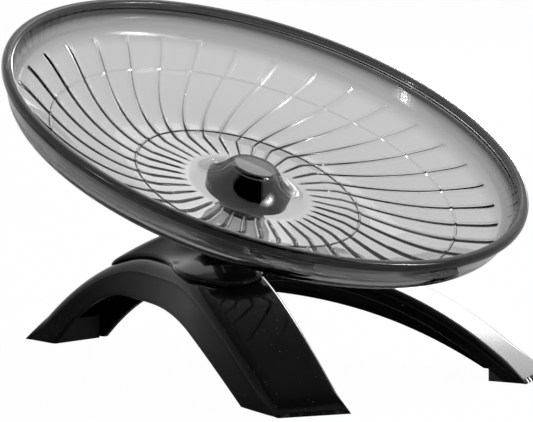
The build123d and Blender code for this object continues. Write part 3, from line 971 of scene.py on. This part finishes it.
@dataclass
class Stand:
    """The three-legged moulding: arched channels that run together in the middle."""

    middle: Array
    crown_height: float = 35.6
    front_level: float = 30.3
    front_reach: float = 118.4
    rear_level: float = 6.5
    rear_reach: float = 82.3
    outer_height: float = 22.1
    outer_level: float = 11.0
    outer_reach: float = 95.1
    inner_height: float = 30.2
    inner_level: float = 28.7
    inner_reach: float = 110.0
    rear_side_level: float = 20.0
    rear_side_reach: float = 65.9
    wall: float = 2.2
    edge_round: float = 4.5
    lip_round: float = 0.5
    foot_gap: float = 0.4
    tip_gap: float = 0.7
    least_side: float = 0.05
    nearly: float = 1e-6
    edge_side_share: float = 0.45
    lip_side_share: float = 0.2
    ceiling_lips: float = 1.5
    front_angle: float = 25.0
    rear_angle: float = 180.0
    front_bow: float = 6.4
    side_web_round: float = 170.0
    front_web_round: float = 9.0
    stations: int = 90
    station_power: float = 1.2
    top_steps: int = 8
    edge_steps: int = 7
    side_steps: int = 8
    lip_steps: int = 4
    inner_steps: int = 6
    finish: Finish = GlossPlastic("black_gloss_stand", "black_plastic")

    def legs(self) -> list[Leg]:
        """The three legs, counter-clockwise: the left front one, the rear one, the right front one."""
        front = Arch(self.crown_height, self.front_level, self.front_reach)
        rear = Arch(self.crown_height, self.rear_level, self.rear_reach)
        outer = Arch(self.outer_height, self.outer_level, self.outer_reach)
        inner = Arch(self.inner_height, self.inner_level, self.inner_reach)
        rear_side = Arch(self.outer_height, self.rear_side_level, self.rear_side_reach)
        return [
            Leg(self.front_angle, front, self.front_bow, outer, inner),
            Leg(self.rear_angle, rear, 0.0, rear_side, rear_side),
            Leg(-self.front_angle, front, -self.front_bow, inner, outer),
        ]

    def webs(self) -> list[Web]:
        """The rounded corners between the legs, each after the leg of the same number."""
        left, rear, right = self.legs()
        return [
            Web(left, rear, self.side_web_round),
            Web(rear, right, self.side_web_round),
            Web(right, left, self.front_web_round),
        ]

    def crown(self, place: Array) -> Array:
        """Height of the upper surface: the rear leg's crown behind the middle, else the front ones'.

        A front leg's crown counts the distance along the leg on the point's own side.

        Args:
            place: Points seen from above, with a last dimension of two.

        Returns:
            Their heights in mm.
        """
        left, rear, _ = self.legs()
        ahead = place[..., 0] * left.way[0] + np.abs(place[..., 1]) * left.way[1]
        front = left.crown.at(np.maximum(ahead, 0))
        return np.where(place[..., 0] < 0, rear.crown.at(-place[..., 0]), front)

    def edge(self, number: int, side: Side, along: Array) -> Array:
        """Outline point of a leg at a distance along it, rounded into the next leg near the middle.

        Args:
            number: The leg's number.
            side: Which edge.
            along: Distances from the middle.

        Returns:
            Points seen from above, (n, 2).
        """
        leg = self.legs()[number]
        web = self.webs()[number if side is Side.LEFT else number - 1]
        start = web.ends()[0 if side is Side.LEFT else 1]
        near = along / start / 2
        share = 0.5 - near if side is Side.LEFT else 0.5 + near
        rounded = web.curve(np.clip(share, 0, 1))
        return np.where((along < start)[:, None], rounded, leg.point(along, side.value))

    def section(self, number: int, side: Side, along: Array) -> Array:
        """Half section of a leg from the top's middle over the edge to the ceiling's middle.

        Each column is a distance out from the spine and a depth below the top: flat top, quarter
        round of the edge radius, upright side, small quarter rounds at the lower edge, inner side
        and ceiling.

        Args:
            number: The leg's number.
            side: Which half.
            along: Distances from the middle.

        Returns:
            Points, (n, k, 3), in millimetres.
        """
        leg = self.legs()[number]
        spine = leg.point(along, 0.0)
        reach = self.edge(number, side, along) - spine
        length = np.linalg.norm(reach, axis=1)
        way = reach / length[:, None]
        rim = spine + reach
        ahead = np.maximum(rim @ leg.way, 0)
        top = self.crown(rim)
        low = np.maximum(leg.arch(side).at(ahead), self.foot_gap)
        room = top - np.minimum(low, top - self.least_side)
        big = np.minimum(self.edge_round, self.edge_side_share * room)
        small = np.minimum(self.lip_round, self.lip_side_share * room)
        thick = self.wall * np.hypot(1, leg.crown.slope(ahead))
        columns: list[tuple[Array, Array]] = []
        for share in np.linspace(0, 1, self.top_steps + 1):
            columns.append((share * (length - big), np.zeros_like(length)))
        for turn in np.radians(np.linspace(0, QUARTER, self.edge_steps + 1)[1:]):
            columns.append((length - big + big * math.sin(turn), big * (1 - math.cos(turn))))
        for share in np.linspace(0, 1, self.side_steps + 1)[1:]:
            columns.append((length, big + share * (room - small - big)))
        for turn in np.radians(np.linspace(0, QUARTER, self.lip_steps + 1)[1:]):
            columns.append((length - small + small * math.cos(turn), room - small + small * math.sin(turn)))
        inside = length - self.wall
        for turn in np.radians(np.linspace(QUARTER, 2 * QUARTER, self.lip_steps)):
            columns.append((inside + small + small * math.cos(turn), room - small + small * math.sin(turn)))
        ceiling = np.minimum(thick, room - self.ceiling_lips * small)
        for share in np.linspace(0, 1, self.inner_steps + 1)[1:]:
            columns.append((inside, room - small + share * (ceiling - room + small)))
        for share in np.linspace(1, 0, self.inner_steps + 1)[1:]:
            columns.append((share * inside, ceiling))
        out, down = (np.stack(part, 1) for part in zip(*columns))
        flat = spine[:, None, :] + out[..., None] * way[:, None, :]
        # The top and the ceiling follow the crown at their own place, the sides keep the edge's
        own = self.crown(flat) - top[:, None]
        on_top = (down < big[:, None]) | (out < inside[:, None] - self.nearly)
        height = top[:, None] - down + np.where(on_top, own, 0)
        return np.concatenate([flat, height[..., None]], -1)

    def leg_grid(self, number: int) -> tuple[Array, Array]:
        """Whole leg as a closed section carried along it, with its tip closed.

        Args:
            number: The leg's number.

        Returns:
            Points in metres, and faces.
        """
        leg = self.legs()[number]
        along = np.linspace(0, 1, self.stations) ** self.station_power * (leg.length - self.tip_gap)
        left, right = (self.section(number, side, along) for side in (Side.LEFT, Side.RIGHT))
        loop = np.concatenate([left, right[:, -2:0:-1]], 1)
        rows, columns = loop.shape[:2]
        faces = grid_faces(rows, columns, False)
        # The tip's quads join the two halves of the last section
        last = (rows - 1) * columns + np.arange(columns)
        half = columns // 2
        cap = np.stack([last[:half - 1], last[1:half], last[-2:-half - 1:-1], last[-1:-half:-1]], 1)
        points = loop.reshape(-1, 3) + [*self.middle, 0.0]
        return MM * points, np.concatenate([faces, cap[:, ::-1]])

    def build(self) -> None:
        """Make the moulding from its three legs."""
        points, faces, start = [], [], 0
        for number in range(len(self.legs())):
            leg_points, leg_faces = self.leg_grid(number)
            points.append(leg_points)
            faces.append(leg_faces + start)
            start += len(leg_points)
        make_piece("stand_moulding", np.concatenate(points), np.concatenate(faces)[:, ::-1], self.finish,
                   Body.STAND, ["tripod_base"])


@dataclass
class Cover:
    """The cover over the roots of the legs, drawn up into the leaning collar."""

    stand: Stand
    axis: SpinAxis
    seat: float = 0.1
    lip: float = 1.4
    lip_round: float = 0.5
    inset: float = 1.0
    reach_rear: float = 42.0
    reach_front: float = 56.0
    shoulder_back: float = 8.5
    shoulder_draw: float = 1.2
    root: float = 20.0
    side_web: float = 18.0
    side_web_angle: float = 110.0
    front_web: float = 33.0
    collar_top: float = -37.1
    collar_length: float = 4.6
    collar_radius: float = 11.5
    collar_foot: float = 12.6
    collar_round: float = 1.0
    bore: float = 6.9
    bore_break: float = 0.3
    fan_shift: float = 6.0
    linear_share: float = 0.8
    ease_power: float = 2.2
    flank_power: float = 1.15
    lip_fade_share: float = 0.012
    outline_steps: int = 360
    flank_steps: int = 33
    collar_steps: int = 5
    round_steps: int = 6
    seat_steps: int = 4
    finish: Finish = GlossPlastic("black_gloss_cover", "black_cover")

    @property
    def collar_bottom(self) -> float:
        """Height of the collar's foot along the axis."""
        return self.collar_top - self.collar_length

    def lobe(self, leg: Leg, reach: float) -> list[Array]:
        """Side, shoulder and tip points of the cover's edge on one leg.

        Args:
            leg: The leg below.
            reach: Distance from the middle to the lobe's tip.

        Returns:
            Five points seen from above, from the leg's right side round the tip to its left.
        """
        shoulder = reach - self.shoulder_back
        right, left = ([leg.point(along, side.value * (1 - 2 * (self.inset + draw) / leg.width(along)))
                        for along, draw in ((self.root, 0.0), (shoulder, self.shoulder_draw))]
                       for side in (Side.RIGHT, Side.LEFT))
        return [*right, leg.point(reach, 0.0), *left[::-1]]

    def outline(self) -> Array:
        """Closed lobed edge seen from above: a periodic cubic through a few points.

        Returns:
            Points, (outline_steps, 2), in millimetres.
        """
        left, rear, right = self.stand.legs()
        turn = math.radians(self.side_web_angle)
        web = (self.side_web - self.inset) * np.array([math.cos(turn), math.sin(turn)])
        places = [np.array([self.front_web - self.inset, 0.0])]
        places += self.lobe(left, self.reach_front)[1:]
        places += [web]
        places += self.lobe(rear, self.reach_rear)
        places += [web * [1, -1]]
        places += self.lobe(right, self.reach_front)[:-1]
        return self.periodic_cubic(np.array(places), self.outline_steps)

    @staticmethod
    def periodic_cubic(knots: Array, count: int) -> Array:
        """Smooth closed curve through points.

        On each span it is the cubic with the second derivatives m that solve the periodic
        tridiagonal system h0 m0 + 2 (h0 + h1) m1 + h1 m2 = 6 (difference of slopes).

        Args:
            knots: The points, (n, 2).
            count: How many points to return.

        Returns:
            Points at equal steps of the chord length.
        """
        n = len(knots)
        run = np.linalg.norm(np.roll(knots, -1, 0) - knots, axis=1)
        slope = (np.roll(knots, -1, 0) - knots) / run[:, None]
        matrix = np.zeros((n, n))
        here = np.arange(n)
        before = np.roll(run, 1)
        matrix[here, here] = 2 * (before + run)
        matrix[here, (here + 1) % n] += run
        matrix[here, (here - 1) % n] += before
        bend = np.linalg.solve(matrix, 6 * (slope - np.roll(slope, 1, 0)))
        start = np.concatenate([[0.0], np.cumsum(run)])
        along = np.linspace(0, start[-1], count, endpoint=False)
        k = np.searchsorted(start, along, side="right") - 1
        h, t = run[k][:, None], (along - start[k])[:, None]
        a, b = knots[k], knots[(k + 1) % n]
        m0, m1 = bend[k], bend[(k + 1) % n]
        rest = h - t
        bent = (m0 * rest ** 3 + m1 * t ** 3) / (6 * h)
        return bent + (a / h - m0 * h / 6) * rest + (b / h - m1 * h / 6) * t

    def build(self) -> None:
        """Make the cover: lip, flanks, collar, bore and the face that rests on the stand.

        A flank runs from the edge to the collar's foot. Above the stand it rises by the lip and
        by the rise times (linear share s + (1 - linear share) s to the ease power).
        """
        edge = self.outline()
        turn = np.arctan2(edge[:, 1], edge[:, 0] - self.fan_shift)
        crown = self.stand.crown
        foot = self.axis_points(self.collar_foot, turn, self.collar_bottom)
        rise = foot[:, 2] - crown(foot[:, :2]) - self.lip
        columns = [
            np.column_stack([edge, crown(edge) + self.seat]),
            np.column_stack([edge, crown(edge) + self.lip - self.lip_round]),
        ]
        for share in np.linspace(0, 1, self.flank_steps + 1)[1:] ** self.flank_power:
            flat = edge + (foot[:, :2] - edge) * share
            ease = self.linear_share * share + (1 - self.linear_share) * share ** self.ease_power
            soften = self.lip_round * np.exp(-share / self.lip_fade_share)
            columns.append(np.column_stack([flat, crown(flat) + self.lip - soften + rise * ease]))
        for radius, along in self.collar_profile():
            columns.append(self.axis_points(radius, turn, along))
        inner = columns[-1][:, :2]
        for share in np.linspace(0, 1, self.seat_steps + 1)[1:-1]:
            flat = inner + (edge - inner) * share
            columns.append(np.column_stack([flat, crown(flat) + self.seat]))
        grid = np.stack(columns, 1)
        faces = grid_faces(*grid.shape[:2], True)
        points = grid.reshape(-1, 3) + [*self.stand.middle, 0.0]
        make_piece("cover_hill", MM * points, faces[:, ::-1], self.finish, Body.STAND, ["tilt_cover"])

    def collar_profile(self) -> list[tuple[float, float]]:
        """Radius and height of the collar from its foot over the top into the bore."""
        r, top, bottom = self.collar_round, self.collar_top, self.collar_bottom
        side = [(self.collar_foot + (self.collar_radius - self.collar_foot) * share,
                 bottom + (self.collar_length - r) * share)
                for share in np.linspace(0, 1, self.collar_steps + 1)[1:]]
        over = [(self.collar_radius - r + r * math.cos(turn), top - r + r * math.sin(turn))
                for turn in np.radians(np.linspace(0, QUARTER, self.round_steps + 1)[1:])]
        bore = [(self.bore + self.bore_break, top), (self.bore, top - self.bore_break), (self.bore, bottom)]
        return side + over + bore

    def axis_points(self, radius: float, turn: Array, along: float) -> Array:
        """Points about the spin axis, in mm from the stand's middle."""
        return self.axis.place(radius, turn, along) / MM - [*self.stand.middle, 0.0]


# Turned parts and bearings

@dataclass
class Hub:
    """The black bearing carrier under the raised centre, and the turned parts round it."""

    axis: SpinAxis
    dish: Dish
    gap: float = 0.1
    top_gap: float = 0.3
    barrel_radius: float = 8.3
    flange_radius: float = 14.0
    flange_bottom: float = -26.3
    barrel_bottom: float = -35.2
    mouth_radius: float = 5.4
    edge_round: float = 0.4
    edge_from: float = 80.0
    cap_wall: float = 2.0
    top_points: int = 50
    edge_points: int = 5
    point_step: float = 1.0
    turn_steps: int = 128
    black: Finish = GlossPlastic("black_gloss_hub", "black_hub", level=0.001, roughness=0.04,
                                 smudge=0.03, specular=0.3, dust=2.0)
    steel: Finish = Metal("turned_steel", "axle_steel")
    screw: Finish = Metal("plated_screw_steel", "screw_steel", (0.5, 0.5, 0.51), 0.3)
    race: Finish = Metal("ground_race_steel", "bearing_steel", (0.62, 0.62, 0.63), 0.16)
    ball: Finish = Metal("polished_ball_steel", "ball_steel", (0.7, 0.7, 0.71), 0.06)
    shield: Finish = Metal("pressed_shield_steel", "shield_steel", (0.58, 0.58, 0.59), 0.2)
    cage: Finish = Metal("pressed_cage_brass", "cage_brass", (0.6, 0.45, 0.22), 0.25)
    inner: Finish = MattePart("moulded_black_post", "inner_plastic", 0.03, 0.45)
    rubber: Finish = MattePart("black_foot_rubber", "pad_rubber", 0.02, 0.7)

    def finishes(self) -> dict[str, Finish]:
        """Which finish each CAD node gets, by its material slot in the record."""
        return {finish.slot: finish for finish in (self.black, self.steel, self.screw, self.race, self.ball,
                                                   self.shield, self.cage, self.inner, self.rubber)}

    def carrier(self) -> bpy.types.Object:
        """Make the carrier, whose upper side follows the underside of the raised centre."""
        under = self.dish.surface_curve(-self.dish.wall - self.gap)
        top = -self.dish.dome_depth - self.dish.wall - self.top_gap
        radii = np.linspace(0, self.flange_radius - self.edge_round, self.top_points)
        height = np.minimum(np.interp(radii, under[:, 0], under[:, 1]), top)
        edge = arc((radii[-1], height[-1] - self.edge_round), self.edge_round,
                   self.edge_from, 0, self.edge_points)
        low = arc((radii[-1], self.flange_bottom + self.edge_round), self.edge_round,
                  0, -QUARTER, self.edge_points)
        ceiling = top - self.cap_wall
        rest = np.array([
            [self.barrel_radius, self.flange_bottom],
            [self.barrel_radius, self.barrel_bottom],
            [self.mouth_radius, self.barrel_bottom],
            [self.mouth_radius, ceiling],
            [0.0, ceiling],
        ])
        profile = np.concatenate([np.stack([radii, height], 1), edge, low, dense(rest, self.point_step)])
        points, faces = self.axis.lathe(profile, self.turn_steps)
        return make_piece("hub_trumpet", points, faces, self.black, Body.DISH, ["hub_carrier"])

    def build(self) -> None:
        """Make the carrier and dress the CAD nodes that stay."""
        self.carrier()
        finishes = self.finishes()
        for part in frame["record"]["subparts"]:
            finish = finishes.get(part["material_slot"])
            if finish is not None:
                dress(part["node"], finish)


def dress(node: str, finish: Finish) -> None:
    """Give a CAD node a finish.

    Args:
        node: The node's name.
        finish: Its finish.
    """
    piece = frame["nodes"][node]
    if not piece.material_slots:
        piece.data.materials.append(finish.material())
    for slot in piece.material_slots:
        slot.material = finish.material()
    log.info("%s: %s", node, finish.name)


# Studio

@dataclass(frozen=True)
class Softbox:
    """An oval lamp: its middle and its two diameters in metres, and its whole power in watts."""

    name: str
    place: tuple[float, float, float]
    size: tuple[float, float]
    power: float


@dataclass
class Studio:
    """Pale floor, soft lamps and the camera at the photograph's angle.

    The camera's place is in millimetres like the object's sizes, all else is in metres.
    """

    camera_at: tuple[float, float, float] = (858.75, -776.02, 183.21)
    camera_look: tuple[float, float, float] = (-0.7312, 0.6729, -0.1124)
    camera_up: tuple[float, float, float] = (-0.0771, 0.0822, 0.9936)
    lens: float = 236.4
    sensor: float = 36.0
    clip: tuple[float, float] = (0.01, 50.0)
    floor_size: float = 8.0
    floor_level: float = 0.8
    floor_glow_share: float = 0.985
    world_level: float = 0.35
    aim: tuple[float, float, float] = (0.0, 0.0, 0.05)
    card_at: tuple[float, float, float] = (1.23, -0.57, 1.31)
    card_size: tuple[float, float] = (2.6, 1.9)
    card_level: float = 0.003
    fade_steps: int = 4
    fade_gap: float = 0.01
    lamps: tuple[Softbox, ...] = (
        Softbox("back_softbox", (-0.72, 1.36, 0.52), (0.9, 0.4), 6.5),
        Softbox("upper_back_softbox", (-0.6, 1.03, 1.12), (1.0, 0.5), 0.35),
        Softbox("high_softbox", (0.72, 0.62, 0.78), (0.45, 0.75), 8.0),
        Softbox("left_strip", (-0.2, -1.15, 0.3), (0.3, 0.6), 2.0),
    )

    def camera(self) -> None:
        """Make the camera and look along the photograph's direction."""
        data = bpy.data.cameras.new("camera")
        data.lens, data.sensor_width, data.sensor_fit = self.lens, self.sensor, "HORIZONTAL"
        data.clip_start, data.clip_end = self.clip
        made = bpy.data.objects.new("camera", data)
        bpy.context.scene.collection.objects.link(made)
        back = -Vector(self.camera_look).normalized()
        right = Vector(self.camera_up).cross(back).normalized()
        up = back.cross(right)
        turn = Matrix((right, up, back)).transposed()
        made.matrix_world = Matrix.Translation(MM * Vector(self.camera_at)) @ turn.to_4x4()
        bpy.context.scene.camera = made

    @staticmethod
    def panel(name: str, corners: Sequence[Sequence[float]], cloth: str) -> Shader:
        """Add a flat panel that belongs to the studio.

        Args:
            name: The panel's name.
            corners: Its four corners, in metres.
            cloth: The name of its material.

        Returns:
            The material's shader, still to be filled.
        """
        mesh = bpy.data.meshes.new(name)
        mesh.from_pydata([tuple(corner) for corner in corners], [], [(0, 1, 2, 3)])
        made = bpy.data.objects.new(name, mesh)
        bpy.context.scene.collection.objects.link(made)
        material = bpy.data.materials.new(cloth)
        material.use_nodes = True
        mesh.materials.append(material)
        return Shader(material.node_tree, "ShaderNodeOutputMaterial")

    def floor(self) -> None:
        """Make the pale floor, which shows white and keeps a soft shadow."""
        size = self.floor_size / 2
        corners = [(-size, -size, 0), (size, -size, 0), (size, size, 0), (-size, size, 0)]
        shader = self.panel("floor", corners, "pale_floor")
        diffuse = shader.node("ShaderNodeBsdfDiffuse", None, {"Color": grey(self.floor_level)})["BSDF"]
        glow = shader.node("ShaderNodeEmission", None, {"Color": grey(1.0), "Strength": 1.0})["Emission"]
        path = shader.node("ShaderNodeLightPath")
        seen = path["Is Camera Ray"].largest(path["Is Transmission Ray"])
        inputs = {0: self.floor_glow_share * seen, 1: diffuse, 2: glow}
        shader.finish(shader.node("ShaderNodeMixShader", None, inputs)[0])

    @staticmethod
    def seen_by_eye(shader: Shader) -> Value:
        """One for camera, mirror and see-through rays, zero for the light that falls on things."""
        path = shader.node("ShaderNodeLightPath")
        rays = path["Is Camera Ray"].largest(path["Is Glossy Ray"])
        return rays.largest(path["Is Transmission Ray"])

    def world(self) -> None:
        """Light the scene evenly, and show white behind the object."""
        world = bpy.data.worlds.new("studio")
        world.use_nodes = True
        bpy.context.scene.world = world
        shader = Shader(world.node_tree, "ShaderNodeOutputWorld")
        seen = self.seen_by_eye(shader)
        strength = seen + self.world_level * (1 - seen)
        inputs = {"Color": grey(1.0), "Strength": strength}
        shader.finish(shader.node("ShaderNodeBackground", None, inputs)["Background"])

    def dark_card(self) -> None:
        """Make the dark panel above and behind the camera, which only shows as a reflection."""
        at = Vector(self.card_at)
        back = (at - Vector(self.aim)).normalized()
        right = Vector((0.0, 0.0, 1.0)).cross(back).normalized()
        half_width, half_height = (0.5 * side for side in self.card_size)
        across, rise = half_width * right, half_height * back.cross(right)
        corners = [at - across - rise, at + across - rise, at + across + rise, at - across + rise]
        shader = self.panel("dark_card", corners, "black_studio_cloth")
        cloth = shader.node("ShaderNodeBsdfDiffuse", None, {"Color": grey(self.card_level)})["BSDF"]
        clear = shader.node("ShaderNodeBsdfTransparent")["BSDF"]
        seen = shader.node("ShaderNodeLightPath")["Is Camera Ray"]
        shader.finish(shader.node("ShaderNodeMixShader", None, {0: seen, 1: cloth, 2: clear})[0])

    def softbox(self, lamp: Softbox) -> None:
        """Make one lamp that fades towards its edge: ovals of falling size behind each other.

        Args:
            lamp: Its name, place, size and power.
        """
        way = Vector(self.aim) - Vector(lamp.place)
        for step in range(self.fade_steps):
            share = 1 - step / self.fade_steps
            data = bpy.data.lights.new(f"{lamp.name}_{step}", "AREA")
            data.shape, data.size, data.size_y = "ELLIPSE", share * lamp.size[0], share * lamp.size[1]
            data.energy = lamp.power / self.fade_steps
            made = bpy.data.objects.new(f"{lamp.name}_{step}", data)
            bpy.context.scene.collection.objects.link(made)
            made.location = Vector(lamp.place) - self.fade_gap * step * way
            made.rotation_euler = way.to_track_quat("-Z", "Y").to_euler()

    def build(self) -> None:
        """Make the whole studio."""
        self.floor()
        self.world()
        self.camera()
        self.dark_card()
        for lamp in self.lamps:
            self.softbox(lamp)
        bpy.context.scene.view_settings.view_transform = "Standard"


def main() -> None:
    """Build every sub-assembly in order."""
    logging.basicConfig(level=logging.INFO, format="%(name)s %(message)s")
    axis = SpinAxis()
    stand = Stand(axis.foot)
    dish = Dish(axis)
    steps: list[tuple[str, Callable[[], None]]] = [
        ("stand", stand.build),
        ("cover", Cover(stand, axis).build),
        ("dish", dish.build),
        ("hub and bearings", Hub(axis, dish).build),
        ("studio", Studio().build),
    ]
    for name, build in steps:
        build()
        log.info("built the %s", name)


if __name__ == "__main__":
    main()
